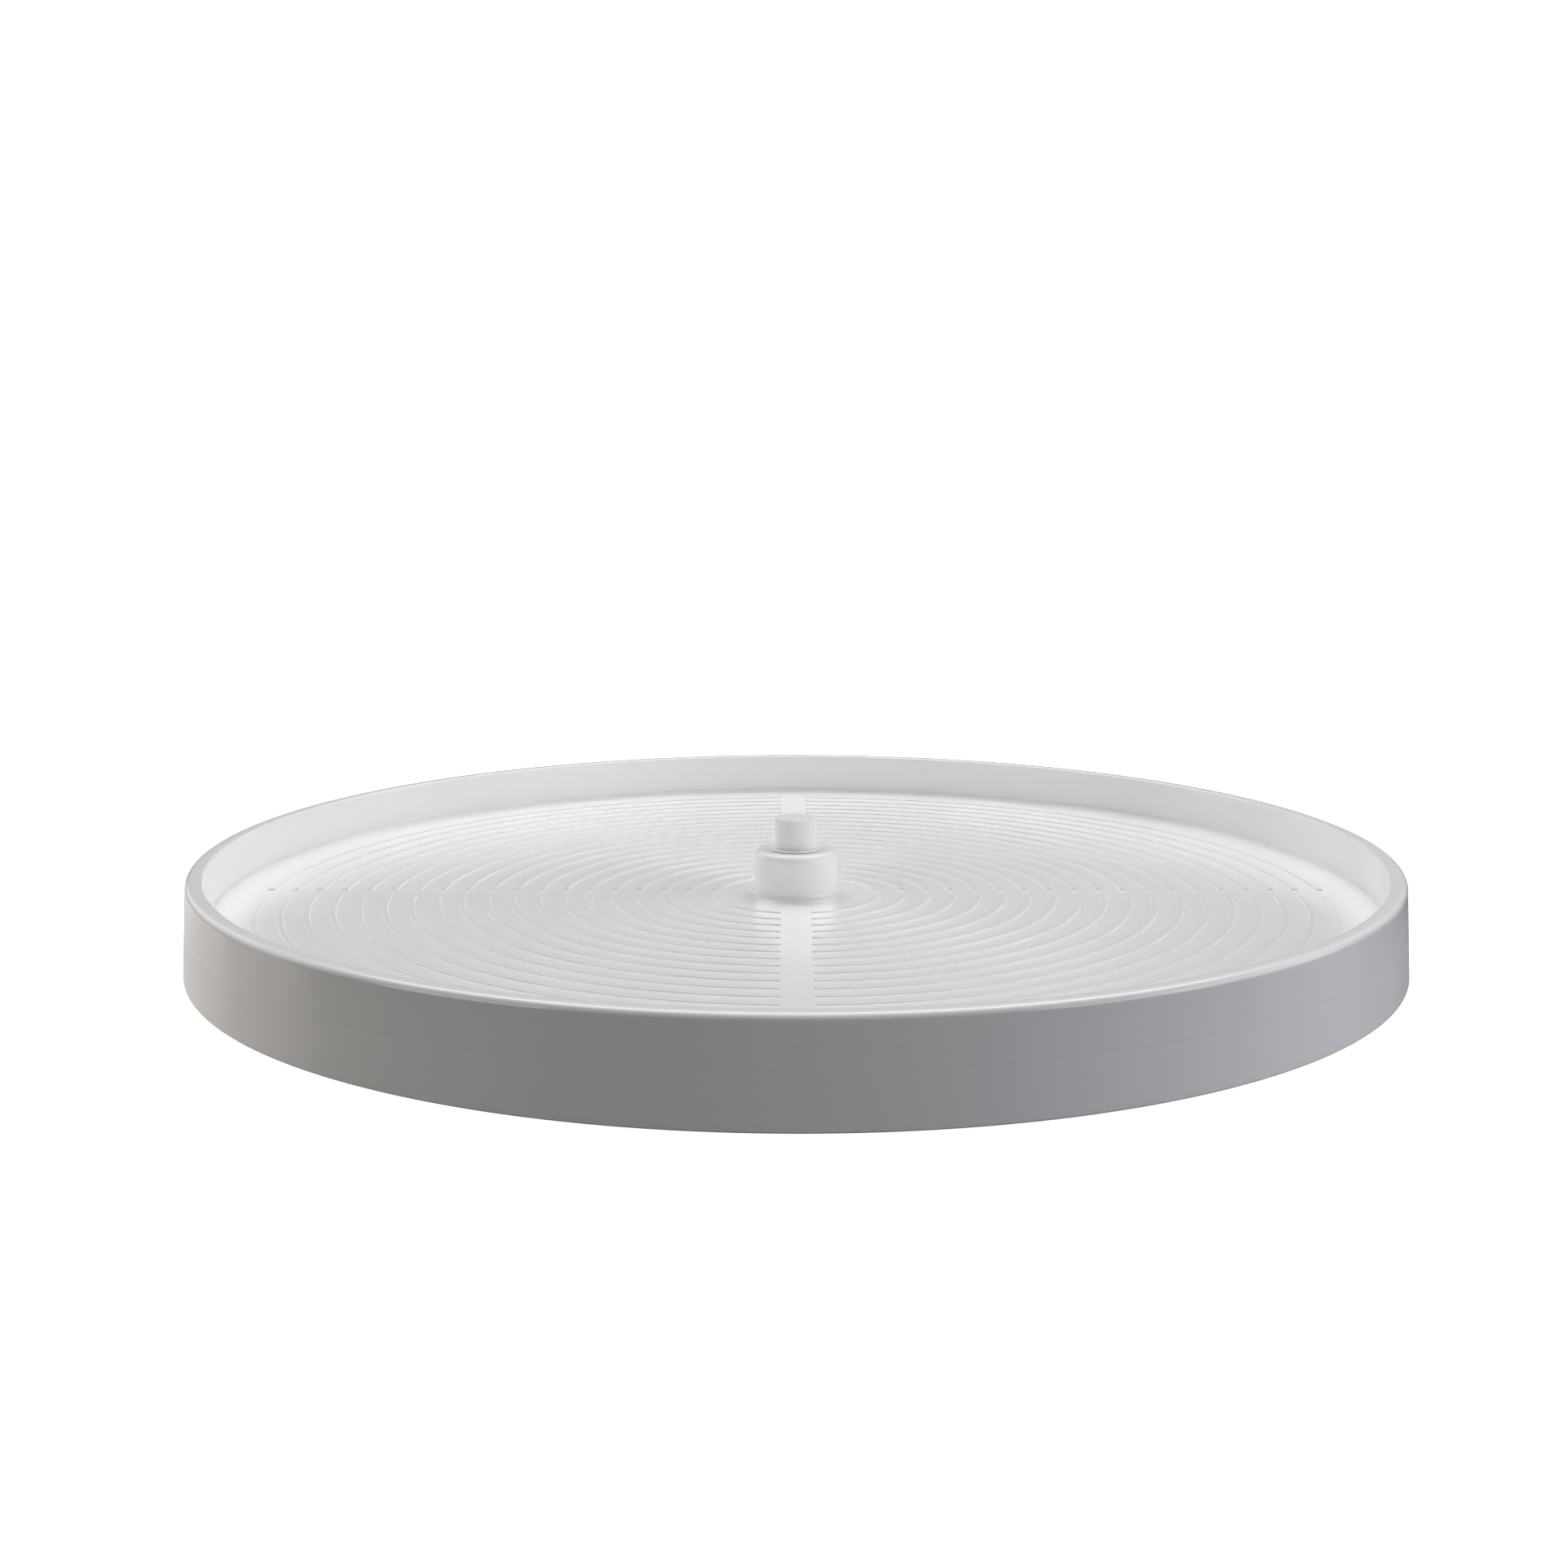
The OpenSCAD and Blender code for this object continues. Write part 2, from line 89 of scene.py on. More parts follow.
# %% [markdown]
# ## The camera
# A lens of normal length stands a little above the tray's edge and looks down by ten
# degrees, so that the floor of the tray shows as a thin ellipse and the front of the rim
# as a tall band. The camera is made before the pieces because everything after it is
# seen through it.

# %% Set up the camera
view_down = math.radians(10.10)
aside = -4.41 * mm
back = 818.83 * mm
height = 215.03 * mm
camera = bpy.data.objects.new("camera", bpy.data.cameras.new("camera"))
camera.data.lens = 50
camera.data.sensor_width = 36
camera.location = (aside, -back, height)
camera.rotation_euler = (math.pi / 2 - view_down, 0, 0)
bpy.context.scene.collection.objects.link(camera)
bpy.context.scene.camera = camera
print("camera at", [round(v, 3) for v in camera.location])

# %% [markdown]
# ## A recipe for node trees
# Geometry Nodes are good at work that follows a rule: turning an outline about an axis,
# or setting the same piece many times round a circle. A tree could be drawn by hand in
# the editor, but written in code it can be read, repeated and checked. This small class
# adds a node, joins its inputs and closes every tree in the same way: instances made
# real, faces smooth, edges sharper than a limit kept sharp, and the finish set.

# %% A helper that writes node trees
SHARP = math.radians(32)


class Recipe:
    """A Geometry Nodes tree with named inputs."""

    def __init__(self, name, **inputs):
        self.tree = bpy.data.node_groups.new(name, "GeometryNodeTree")
        face = self.tree.interface
        face.new_socket("Geometry", in_out="INPUT", socket_type="NodeSocketGeometry")
        for title, kind in inputs.items():
            face.new_socket(title, in_out="INPUT", socket_type="NodeSocket" + kind)
        face.new_socket("Finish", in_out="INPUT", socket_type="NodeSocketMaterial")
        face.new_socket("Geometry", in_out="OUTPUT", socket_type="NodeSocketGeometry")
        self.given = self.node("NodeGroupInput").outputs

    def feed(self, socket, value):
        if isinstance(value, bpy.types.NodeSocket):
            self.tree.links.new(value, socket)
        else:
            socket.default_value = value

    def node(self, kind, feeds=None, **settings):
        made = self.tree.nodes.new(kind)
        for key, value in settings.items():
            setattr(made, key, value)
        for title, value in (feeds or {}).items():
            self.feed(made.inputs[title], value)
        return made

    def maths(self, operation, *values):
        made = self.node("ShaderNodeMath", operation=operation)
        for socket, value in zip(made.inputs, values):
            self.feed(socket, value)
        return made.outputs[0]

    def point(self, x, y, z):
        return self.node("ShaderNodeCombineXYZ", {"X": x, "Y": y, "Z": z}).outputs[0]

    def place(self):
        position = self.node("GeometryNodeInputPosition").outputs[0]
        return self.node("ShaderNodeSeparateXYZ", {0: position}).outputs

    def close(self, geometry):
        real = self.node("GeometryNodeRealizeInstances", {"Geometry": geometry})
        soft = {"Geometry": real.outputs[0], "Shade Smooth": True}
        smooth = self.node("GeometryNodeSetShadeSmooth", soft)
        fold = self.node("GeometryNodeInputMeshEdgeAngle").outputs["Unsigned Angle"]
        edges = {"Geometry": smooth.outputs[0], "Selection": self.maths("GREATER_THAN", fold, SHARP)}
        crisp = self.node("GeometryNodeSetShadeSmooth", {**edges, "Shade Smooth": False}, domain="EDGE")
        paint = {"Geometry": crisp.outputs[0], "Material": self.given["Finish"]}
        painted = self.node("GeometryNodeSetMaterial", paint)
        self.node("NodeGroupOutput", {"Geometry": painted.outputs[0]})


# %% [markdown]
# ## From a recipe to a plain piece
# A modifier is handy while a shape is being found, but a library part should be a plain
# mesh. The recipe runs on a host object, its result is copied out, doubled points are
# merged and the faces are turned outwards. Inputs are set by their identifiers, because
# two inputs may share a name but never an identifier.

# %% Helpers that run a recipe and join pieces
TOUCHING = 0.0005 * mm


def tidy(mesh):
    """Merges doubled points and turns the faces of every closed shell outwards."""
    work = bmesh.new()
    work.from_mesh(mesh)
    bmesh.ops.remove_doubles(work, verts=work.verts, dist=TOUCHING)
    bmesh.ops.dissolve_degenerate(work, edges=work.edges, dist=TOUCHING)
    bmesh.ops.recalc_face_normals(work, faces=work.faces)
    open_edges = sum(not edge.is_manifold for edge in work.edges)
    work.to_mesh(mesh)
    work.free()
    return open_edges


def run(recipe, mesh, name, finish, **sizes):
    """Runs a recipe on a mesh and returns the finished plain object."""
    host = bpy.data.objects.new(name + "_host", mesh)
    bpy.context.scene.collection.objects.link(host)
    modifier = host.modifiers.new(recipe.tree.name, "NODES")
    modifier.node_group = recipe.tree
    sizes["Finish"] = finish
    for item in recipe.tree.interface.items_tree:
        if item.in_out == "INPUT" and item.name in sizes:
            modifier[item.identifier] = sizes[item.name]
    depsgraph = bpy.context.evaluated_depsgraph_get()
    shape = bpy.data.meshes.new_from_object(host.evaluated_get(depsgraph))
    host.modifiers.clear()
    bpy.data.objects.remove(host)
    open_edges = tidy(shape)
    shape.name = name
    piece = bpy.data.objects.new(name, shape)
    bpy.context.scene.collection.objects.link(piece)
    print(name, len(shape.polygons), "faces,", open_edges, "open edges")
    return piece


def join(name, pieces):
    """Makes one object of several that share a finish."""
    work = bmesh.new()
    for piece in pieces:
        work.from_mesh(piece.data)
    shape = bpy.data.meshes.new(name)
    work.to_mesh(shape)
    work.free()
    shape.materials.append(pieces[0].data.materials[0])
    for piece in pieces:
        bpy.data.objects.remove(piece)
    whole = bpy.data.objects.new(name, shape)
    bpy.context.scene.collection.objects.link(whole)
    return whole


# %% [markdown]
# ## Outlines
# A turned or moulded round piece is fully told by half of its section. Straight runs
# need only their ends. Roundings are arcs, written as a centre, a radius and two angles,
# where 0 degrees points away from the axis and 90 degrees points up.

# %% Helpers that draw outlines
def arc(r, z, radius, start, end, steps=6):
    """Points along an arc about (r, z), ends included."""
    angles = [math.radians(start + (end - start) * i / steps) for i in range(steps + 1)]
    return [(r + radius * math.cos(a), z + radius * math.sin(a)) for a in angles]


def outline(name, points, closed=True):
    """A chain of edges in the XZ plane, through points given as (radius, height)."""
    chain = [(i, i + 1) for i in range(len(points) - 1)]
    if closed:
        chain.append((len(points) - 1, 0))
    shape = bpy.data.meshes.new(name)
    shape.from_pydata([(r, 0, z) for r, z in points], chain, [])
    return shape


def bar(name, section, start, end, steps=1):
    """A bar along X whose section is given as (y, z) points, closed at both ends."""
    n = len(section)
    spots = [start + (end - start) * i / steps for i in range(steps + 1)]
    verts = [(x, y, z) for x in spots for y, z in section]
    sides = [(i * n + k, i * n + (k + 1) % n, (i + 1) * n + (k + 1) % n, (i + 1) * n + k)
             for i in range(steps) for k in range(n)]
    ends = [tuple(range(n)), tuple(steps * n + k for k in range(n))]
    shape = bpy.data.meshes.new(name)
    shape.from_pydata(verts, [], sides + ends)
    return shape


# %% [markdown]
# ## The turning recipe
# The tray, the post and the washer are all shapes that a lathe could cut. A spin in mesh
# code would do, but the same tree serves for all of them: the outline becomes the
# profile of a tiny circle, and the sweep along that circle is the turned piece.

# %% Build the turning recipe
turning = Recipe("turn_an_outline", Steps="Int")
axis_r = 1 * mm
spot = turning.place()
beyond = turning.maths("SUBTRACT", spot["X"], axis_r)
downward = turning.maths("MULTIPLY", spot["Z"], -1.0)
flat = turning.point(beyond, downward, 0.0)
laid = turning.node("GeometryNodeSetPosition", {"Geometry": turning.given["Geometry"], "Position": flat})
profile = turning.node("GeometryNodeMeshToCurve", {"Mesh": laid.outputs[0]})
feeds = {"Resolution": turning.given["Steps"], "Radius": axis_r}
circle = turning.node("GeometryNodeCurvePrimitiveCircle", feeds)
feeds = {"Curve": circle.outputs[0], "Profile Curve": profile.outputs[0]}
swept = turning.node("GeometryNodeCurveToMesh", feeds)
feeds = {"Geometry": swept.outputs[0], "Distance": TOUCHING}
merged = turning.node("GeometryNodeMergeByDistance", feeds)
turning.close(merged.outputs[0])
print("turning recipe:", len(turning.tree.nodes), "nodes")

# %% [markdown]
# ## The round-pattern recipe
# Spokes, bosses, feet and balls are one shape repeated at equal steps round the axis.
# One is modelled, and the tree sets the others. The piece is made at the axis and moved
# out by the radius, so each copy points away from the middle.

# %% Build the round-pattern recipe
pattern = Recipe("set_round_a_circle", Count="Int", Radius="Float", Turn="Float")
step = pattern.maths("DIVIDE", 2 * math.pi, pattern.given["Count"])
number = pattern.node("GeometryNodeInputIndex").outputs[0]
heading = pattern.maths("MULTIPLY_ADD", number, step, pattern.given["Turn"])
reach = pattern.given["Radius"]
across = pattern.maths("MULTIPLY", reach, pattern.maths("COSINE", heading))
along = pattern.maths("MULTIPLY", reach, pattern.maths("SINE", heading))
feeds = {"Count": pattern.given["Count"], "Position": pattern.point(across, along, 0.0)}
spots = pattern.node("GeometryNodePoints", feeds)
facing = pattern.point(0.0, 0.0, heading)
feeds = {"Points": spots.outputs[0], "Instance": pattern.given["Geometry"], "Rotation": facing}
pattern.close(pattern.node("GeometryNodeInstanceOnPoints", feeds).outputs[0])
print("pattern recipe:", len(pattern.tree.nodes), "nodes")

# %% [markdown]
# ## Finishes
# Every finish is made of nodes, so it has no picture to stretch or to lose. Patterns
# read the piece's own Object coordinates in metres: a noise of scale 1000 has grains of
# about a millimetre. Each finish varies its colour, its roughness and its surface a
# little, because nothing that was moulded, pressed or turned is perfectly even.

# %% A helper that writes finishes
class Finish:
    """A material on the Principled shader, whose patterns stay on the piece."""

    def __init__(self, name, roughness, metallic=0.0):
        self.material = bpy.data.materials.new(name)
        self.material.use_nodes = True
        self.tree = self.material.node_tree
        self.shader = self.tree.nodes["Principled BSDF"]
        self.shader.inputs["Roughness"].default_value = roughness
        self.shader.inputs["Metallic"].default_value = metallic
        self.where = self.node("ShaderNodeTexCoord").outputs["Object"]

    def node(self, kind, feeds=None, **settings):
        made = self.tree.nodes.new(kind)
        for key, value in settings.items():
            setattr(made, key, value)
        for title, value in (feeds or {}).items():
            if isinstance(value, bpy.types.NodeSocket):
                self.tree.links.new(value, made.inputs[title])
            else:
                made.inputs[title].default_value = value
        return made

    def noise(self, scale, detail=2.0, where=None):
        feeds = {"Vector": where or self.where, "Scale": scale, "Detail": detail}
        return self.node("ShaderNodeTexNoise", feeds).outputs["Fac"]

    def spread(self, value, low, high, least=0.3, most=0.7):
        feeds = {"Value": value, "From Min": least, "From Max": most, "To Min": low, "To Max": high}
        return self.node("ShaderNodeMapRange", feeds).outputs["Result"]

    def maths(self, operation, *values):
        made = self.node("ShaderNodeMath", operation=operation)
        for socket, value in zip(made.inputs, values):
            if isinstance(value, bpy.types.NodeSocket):
                self.tree.links.new(value, socket)
            else:
                socket.default_value = value
        return made.outputs[0]

    def blend(self, amount, first, second):
        made = self.node("ShaderNodeMix", data_type="RGBA")
        for socket, value in ((made.inputs[0], amount), (made.inputs[6], first), (made.inputs[7], second)):
            if isinstance(value, bpy.types.NodeSocket):
                self.tree.links.new(value, socket)
            else:
                socket.default_value = value
        return made.outputs[2]

    def colour(self, value):
        self.tree.links.new(value, self.shader.inputs["Base Color"])

    def vary_colour(self, pattern_value, first, second, least=0.3, most=0.7):
        """Mixes two colours by a pattern."""
        self.colour(self.blend(self.spread(pattern_value, 0.0, 1.0, least, most), first, second))

    def roughness(self, value):
        self.tree.links.new(value, self.shader.inputs["Roughness"])

    def relief(self, *layers):
        """Stacks bumps, each a pattern with its height in metres."""
        normal = None
        for pattern_value, height in layers:
            made = self.node("ShaderNodeBump", {"Height": pattern_value, "Distance": height})
            if normal:
                self.tree.links.new(normal, made.inputs["Normal"])
            normal = made.outputs[0]
        self.tree.links.new(normal, self.shader.inputs["Normal"])

    def reach(self):
        """The distance from the Z axis, in metres."""
        split = self.node("ShaderNodeSeparateXYZ", {0: self.where}).outputs
        squares = [self.maths("POWER", split[axis], 2.0) for axis in "XY"]
        return self.maths("SQRT", self.maths("ADD", *squares))

    def round_lines(self, scale, stretch):
        """A noise drawn out round the Z axis, as turning or a sliding pot leaves it."""
        split = self.node("ShaderNodeSeparateXYZ", {0: self.where}).outputs
        bearing = self.maths("ARCTAN2", split["Y"], split["X"])
        along = self.maths("MULTIPLY", bearing, stretch)
        place = self.node("ShaderNodeCombineXYZ", {"X": self.reach(), "Y": along, "Z": split["Z"]})
        return self.noise(scale, 3.0, place.outputs[0])


def grey(value, warmth=0.0):
    """A grey in linear light; warmth above 0 leans to yellow, below 0 to blue."""
    return (value * (1 + warmth), value, value * (1 - warmth), 1)


# %% [markdown]
# ## White moulded plastic
# The tray is one moulding in a clean white. The mould was ground fine and not polished,
# so the surface has a soft gloss: the wall and the collar show as a pale glow in the
# floor at their foot. Slow cooling leaves a very faint cloudiness. Pots slide round the
# floor, so a few hair-fine scuffs run round the middle and the tops of the rings are a
# touch shinier. Hands turn the tray by the outside of the rim and leave it a touch
# duller.

# %% Mix the white moulded plastic
def white_plastic():
    finish = Finish("satin_white_plastic", 0.2)
    finish.shader.inputs["IOR"].default_value = 1.5
    cloud = finish.noise(14.0, 3.0)
    finish.vary_colour(cloud, grey(0.95, 0.001), grey(0.965, 0.002))
    outside = finish.spread(finish.reach(), 0.0, 1.0, rim_top_r, rim_top_r + 0.6 * mm)
    inside = finish.maths("SUBTRACT", 1.0, outside)
    scuffs = finish.maths("MULTIPLY", finish.round_lines(900.0, 0.004), inside)
    level = finish.node("ShaderNodeSeparateXYZ", {0: finish.where}).outputs["Z"]
    on_top = finish.spread(level, 0.0, -0.04, floor_top + 0.3 * mm, floor_top + 0.45 * mm)
    satin = finish.spread(cloud, 0.18, 0.22)
    scuffed = finish.maths("MULTIPLY_ADD", finish.spread(scuffs, 0.0, 1.0, 0.62, 0.8), 0.05, satin)
    handled = finish.maths("MULTIPLY_ADD", outside, 0.1, on_top)
    finish.roughness(finish.maths("ADD", scuffed, handled))
    grain = finish.noise(3500.0, 1.0)
    finish.relief((grain, 0.004 * mm), (scuffs, 0.003 * mm))
    return finish.material


tray_white = white_plastic()

# %% [markdown]
# ## Coated steel
# The post is a steel rod with a white powder coat. Powder flows out while it is baked
# and leaves the soft dimples that are called orange peel, wider and rounder than the
# grain of a mould.

# %% Mix the post's coating
def powder_coat():
    finish = Finish("white_powder_coat", 0.34)
    finish.shader.inputs["IOR"].default_value = 1.5
    dimples = finish.noise(900.0, 1.0)
    finish.vary_colour(finish.noise(120.0), grey(0.91, 0.001), grey(0.93, 0.001))
    finish.roughness(finish.spread(dimples, 0.31, 0.37))
    finish.relief((dimples, 0.012 * mm))
    return finish.material


post_white = powder_coat()

# %% [markdown]
# ## Natural nylon
# The retaining washer, the two bushes and the ball cage are nylon. It is a little warmer
# and waxier than the tray's plastic. The washer is punched from sheet, the others are
# moulded, so they share one function with different tints.

# %% Mix the nylons
def nylon(name, value, warmth, roughness):
    finish = Finish(name, roughness)
    finish.shader.inputs["IOR"].default_value = 1.53
    cloud = finish.noise(160.0, 3.0)
    finish.vary_colour(cloud, grey(value * 0.97, warmth), grey(value, warmth))
    finish.roughness(finish.spread(finish.noise(500.0), roughness - 0.04, roughness + 0.04))
    finish.relief((finish.noise(2500.0), 0.004 * mm), (finish.round_lines(1500.0, 0.004), 0.004 * mm))
    return finish.material


washer_nylon = nylon("punched_white_nylon", 0.95, 0.003, 0.36)
bush_nylon = nylon("moulded_ivory_nylon", 0.78, 0.05, 0.38)
cage_nylon = nylon("moulded_amber_nylon", 0.62, 0.16, 0.40)

# %% [markdown]
# ## Steels
# The races are pressed from zinc-coated sheet: the coating sets in flat crystals that
# catch the light differently. Screws and the washer are zinc plated, finer and slightly
# blue. The balls are ground and polished. All are metals, so their colour lives in the
# reflection, and the patterns mostly change the roughness.

# %% Mix the steels
def zinc_sheet():
    finish = Finish("zinc_coated_sheet", 0.35, 1.0)
    crystals = finish.node("ShaderNodeTexVoronoi", {"Vector": finish.where, "Scale": 260.0})
    shade = finish.node("ShaderNodeSeparateColor", {"Color": crystals.outputs["Color"]}).outputs["Red"]
    finish.colour(finish.blend(shade, grey(0.50, -0.01), grey(0.66, -0.01)))
    lines = finish.round_lines(2200.0, 0.003)
    shine = finish.spread(shade, 0.28, 0.42, 0.0, 1.0)
    finish.roughness(finish.maths("ADD", shine, finish.spread(lines, 0.0, 0.08)))
    finish.relief((lines, 0.003 * mm))
    return finish.material


def plated_steel(name, value, roughness):
    finish = Finish(name, roughness, 1.0)
    cloud = finish.noise(700.0, 3.0)
    finish.vary_colour(cloud, grey(value * 0.88, -0.03), grey(value, -0.02))
    finish.roughness(finish.spread(finish.noise(1800.0, 3.0), roughness - 0.08, roughness + 0.1))
    finish.relief((finish.noise(4000.0), 0.003 * mm))
    return finish.material


race_zinc = zinc_sheet()
screw_zinc = plated_steel("zinc_plated_screw", 0.62, 0.30)
washer_zinc = plated_steel("zinc_plated_washer", 0.60, 0.36)
ball_chrome = plated_steel("ground_ball_steel", 0.70, 0.12)

# %% [markdown]
# ## Base plastic and rubber
# The base is moulded from a pale grey plastic with a coarser grain, since nobody looks
# at it. The feet are black rubber: matt, a little dusty, and smoothed on the flat where
# they press on the shelf.

# %% Mix the base plastic and the rubber
def grey_plastic():
    finish = Finish("pale_grey_plastic", 0.5)
    flow = finish.noise(22.0, 4.0)
    finish.vary_colour(flow, grey(0.58, 0.006), grey(0.63, 0.006))
    finish.roughness(finish.spread(finish.noise(300.0), 0.44, 0.56))
    finish.relief((finish.noise(1600.0, 2.0), 0.012 * mm))
    return finish.material


def black_rubber():
    finish = Finish("matt_black_rubber", 0.8)
    dust = finish.noise(420.0, 5.0)
    finish.vary_colour(dust, grey(0.022), grey(0.07, 0.03), 0.5, 0.75)
    level = finish.node("ShaderNodeSeparateXYZ", {0: finish.where}).outputs["Z"]
    pressed = finish.spread(level, -0.15, 0.0, 0.0, 0.2 * mm)
    finish.roughness(finish.maths("ADD", finish.spread(dust, 0.7, 0.9), pressed))
    finish.relief((finish.noise(1400.0, 3.0), 0.02 * mm))
    return finish.material


base_grey = grey_plastic()
foot_black = black_rubber()
print("finishes:", [m.name for m in bpy.data.materials])

# %% [markdown]
# ## The tray's section
# The tray is hollow under its rim: two thin skins hang from a solid cap, so that the
# wall cools evenly and no dents appear. The outline runs up the collar's bore, over the
# collar, across the floor, over the rim, up inside the hollow, and back under the floor
# past the hoops that stiffen it. A small margin beside each rounding keeps the long
# faces flat when they are shaded.

# %% Draw the hub and the collar in section
hub_bottom = 17.7 * mm
hub_r = 14.0 * mm
bore_r = post_r + 0.6 * mm
bush_r = post_r + 1.61 * mm
lower_seat_top = hub_bottom + 8.05 * mm
upper_seat_bottom = collar_top - 10.05 * mm
bore_soft = 0.2 * mm
collar_round = 3 * mm
collar_fillet = 3 * mm
collar_bore = [
    (bush_r, hub_bottom), (bush_r, lower_seat_top),
    (bore_r, lower_seat_top), (bore_r, upper_seat_bottom),
    (bush_r, upper_seat_bottom),
    *arc(bush_r + bore_soft, collar_top - bore_soft, bore_soft, 180, 90, 3),
]
collar_side = [
    *arc(collar_r - collar_round, collar_top - collar_round, collar_round, 90, 0, 10),
    *arc(collar_r + collar_fillet, floor_top + collar_fillet, collar_fillet, 180, 270, 10),
]
print("collar drawn with", len(collar_bore + collar_side), "points")

# %% Draw the rim in section
floor_fillet = 2 * mm
lip_round = 0.8 * mm
rim_round = 2.2 * mm
foot_round = 0.6 * mm
lean = math.atan(rim_lean / (rim_top - rim_foot))
margin = 0.4 * mm


def leaning(r_at_foot, height):
    """Radius of a leaning face at a height, from its radius at the rim's foot."""
    return r_at_foot - (height - rim_foot) * math.tan(lean)


shoulder_r = leaning(rim_r, rim_top - rim_round) - rim_round / math.cos(lean)
toe_r = leaning(rim_r, rim_foot + foot_round) - foot_round / math.cos(lean)
lean_degrees = math.degrees(lean)
rim_side = [
    (wall_r - floor_fillet - margin, floor_top),
    *arc(wall_r - floor_fillet, floor_top + floor_fillet, floor_fillet, 270, 360, 8),
    (wall_r, floor_top + floor_fillet + margin),
    (wall_r, rim_top - lip_round - margin),
    *arc(wall_r + lip_round, rim_top - lip_round, lip_round, 180, 90, 6),
    *arc(shoulder_r, rim_top - rim_round, rim_round, 90, lean_degrees, 10),
    (leaning(rim_r, rim_top - rim_round - margin), rim_top - rim_round - margin),
    (leaning(rim_r, rim_foot + foot_round + margin), rim_foot + foot_round + margin),
    *arc(toe_r, rim_foot + foot_round, foot_round, lean_degrees, -90, 6),
    (rim_r - outer_skin, rim_foot),
    (leaning(rim_r - outer_skin, rim_top - rim_cap), rim_top - rim_cap),
    (wall_r + inner_skin, rim_top - rim_cap),
    (wall_r + inner_skin, floor_under),
]
print("rim drawn with", len(rim_side), "points; it leans by", round(lean_degrees, 2), "degrees")

# %% [markdown]
# ## Hoops under the floor
# A thin floor of this width would sag, so hoops and spokes stand under it. Each tapers
# slightly towards its edge, which lets it slide out of the mould, and its edge is
# softened. The three inner hoops are taller and carry the upper race.

# %% Draw the hoops in section
race_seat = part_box("upper_race")[1].z
race_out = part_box("upper_race")[1].x
track_r = (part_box("ball_01")[0].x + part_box("ball_01")[1].x) / 2
hoop_t = 2 * mm
hoop_draft = 0.12 * mm
edge_round = 0.3 * mm
stiff_bottom = floor_under - 6 * mm
bulge = 3.43 * mm


def hoop(middle, bottom):
    """The outline of one hoop, drawn from its outer foot to its inner foot."""
    half = hoop_t / 2
    low = half - hoop_draft - edge_round
    return [
        (middle + half, floor_under),
        *arc(middle + low, bottom + edge_round, edge_round, 0, -90, 3),
        *arc(middle - low, bottom + edge_round, edge_round, -90, -180, 3),
        (middle - half, floor_under),
    ]


open_floor = (wall_r - race_out) / 3
hoops = [
    *hoop(race_out + 2 * open_floor, stiff_bottom),
    *hoop(race_out + open_floor, stiff_bottom),
    *hoop(race_out - hoop_t / 2, race_seat),
    *hoop(track_r + bulge + hoop_t / 2, race_seat),
    *hoop(track_r - bulge - hoop_t / 2, race_seat),
]
hub_under = [(hub_r, floor_under), *arc(hub_r - edge_round, hub_bottom + edge_round, edge_round, 0, -90, 3)]
tray_points = collar_bore + collar_side + rim_side + hoops + hub_under
print("tray section:", len(tray_points), "points")

# %% Turn the tray
tray_body = run(turning, outline("tray_section", tray_points), "tray_body", tray_white, Steps=288)

# %% [markdown]
# ## Anti-slip rings
# Nineteen low rings stop jars from sliding while the tray turns. Two plain strips cross
# them and cut each ring into quarters, and the cuts run straight, so a small ring loses
# more of its turn than a large one. That is a rule, and rules suit nodes: one straight
# bar is repeated for every ring and quarter, then each of its points is bent to its own
# radius, and its ends are laid against the strips.

# %% Sizes of the rings
ring_pitch = 9.525 * mm
first_ring_r = 33.2 * mm
ring_border = 15.4 * mm
ring_w = 2.6 * mm
ring_h = 0.5 * mm
ring_draft = 0.2 * mm
ring_sink = 0.4 * mm
strip_w = 11.1 * mm
ring_count = 1 + int((wall_r - ring_border - first_ring_r) / ring_pitch)
print(ring_count, "rings")

# %% Draw one straight bar of a ring
ring_soft = 0.14 * mm
side_lean = math.degrees(math.atan2(ring_draft, ring_h))
ring_section = [
    (-ring_w, -ring_sink), (-ring_w, 0),
    *arc(ring_draft + ring_soft - ring_w, ring_h - ring_soft, ring_soft, 180 - side_lean, 90, 3),
    *arc(-ring_draft - ring_soft, ring_h - ring_soft, ring_soft, 90, side_lean, 3),
    (0, 0), (0, -ring_sink),
]
straight_ring = bar("straight_ring", ring_section, 0, 1, 40)
print("one bar:", len(straight_ring.polygons), "faces")

# %% Build the ring recipe
QUARTERS = 4
ring_inputs = {"Rings": "Int", "First": "Float", "Pitch": "Float", "Strip": "Float", "Floor": "Float"}
rings = Recipe("bend_bars_into_rings", **ring_inputs)
number = rings.node("GeometryNodeInputIndex").outputs[0]
bars = rings.node("GeometryNodePoints", {"Count": rings.maths("MULTIPLY", rings.given["Rings"], QUARTERS)})
ring_number = rings.maths("FLOOR", rings.maths("DIVIDE", number, QUARTERS))
labels = {"ring": ring_number, "quarter": rings.maths("MODULO", number, QUARTERS)}
labelled = bars.outputs[0]
for label, value in labels.items():
    feeds = {"Geometry": labelled, "Name": label, "Value": value}
    labelled = rings.node("GeometryNodeStoreNamedAttribute", feeds, data_type="FLOAT").outputs[0]
feeds = {"Points": labelled, "Instance": rings.given["Geometry"]}
copies = rings.node("GeometryNodeInstanceOnPoints", feeds)
real = rings.node("GeometryNodeRealizeInstances", {"Geometry": copies.outputs[0]})
ring_of, quarter_of = [
    rings.node("GeometryNodeInputNamedAttribute", {"Name": label}, data_type="FLOAT").outputs[0]
    for label in labels
]
spot = rings.place()
outer_edge = rings.maths("MULTIPLY_ADD", ring_of, rings.given["Pitch"], rings.given["First"])
radius = rings.maths("ADD", outer_edge, spot["Y"])
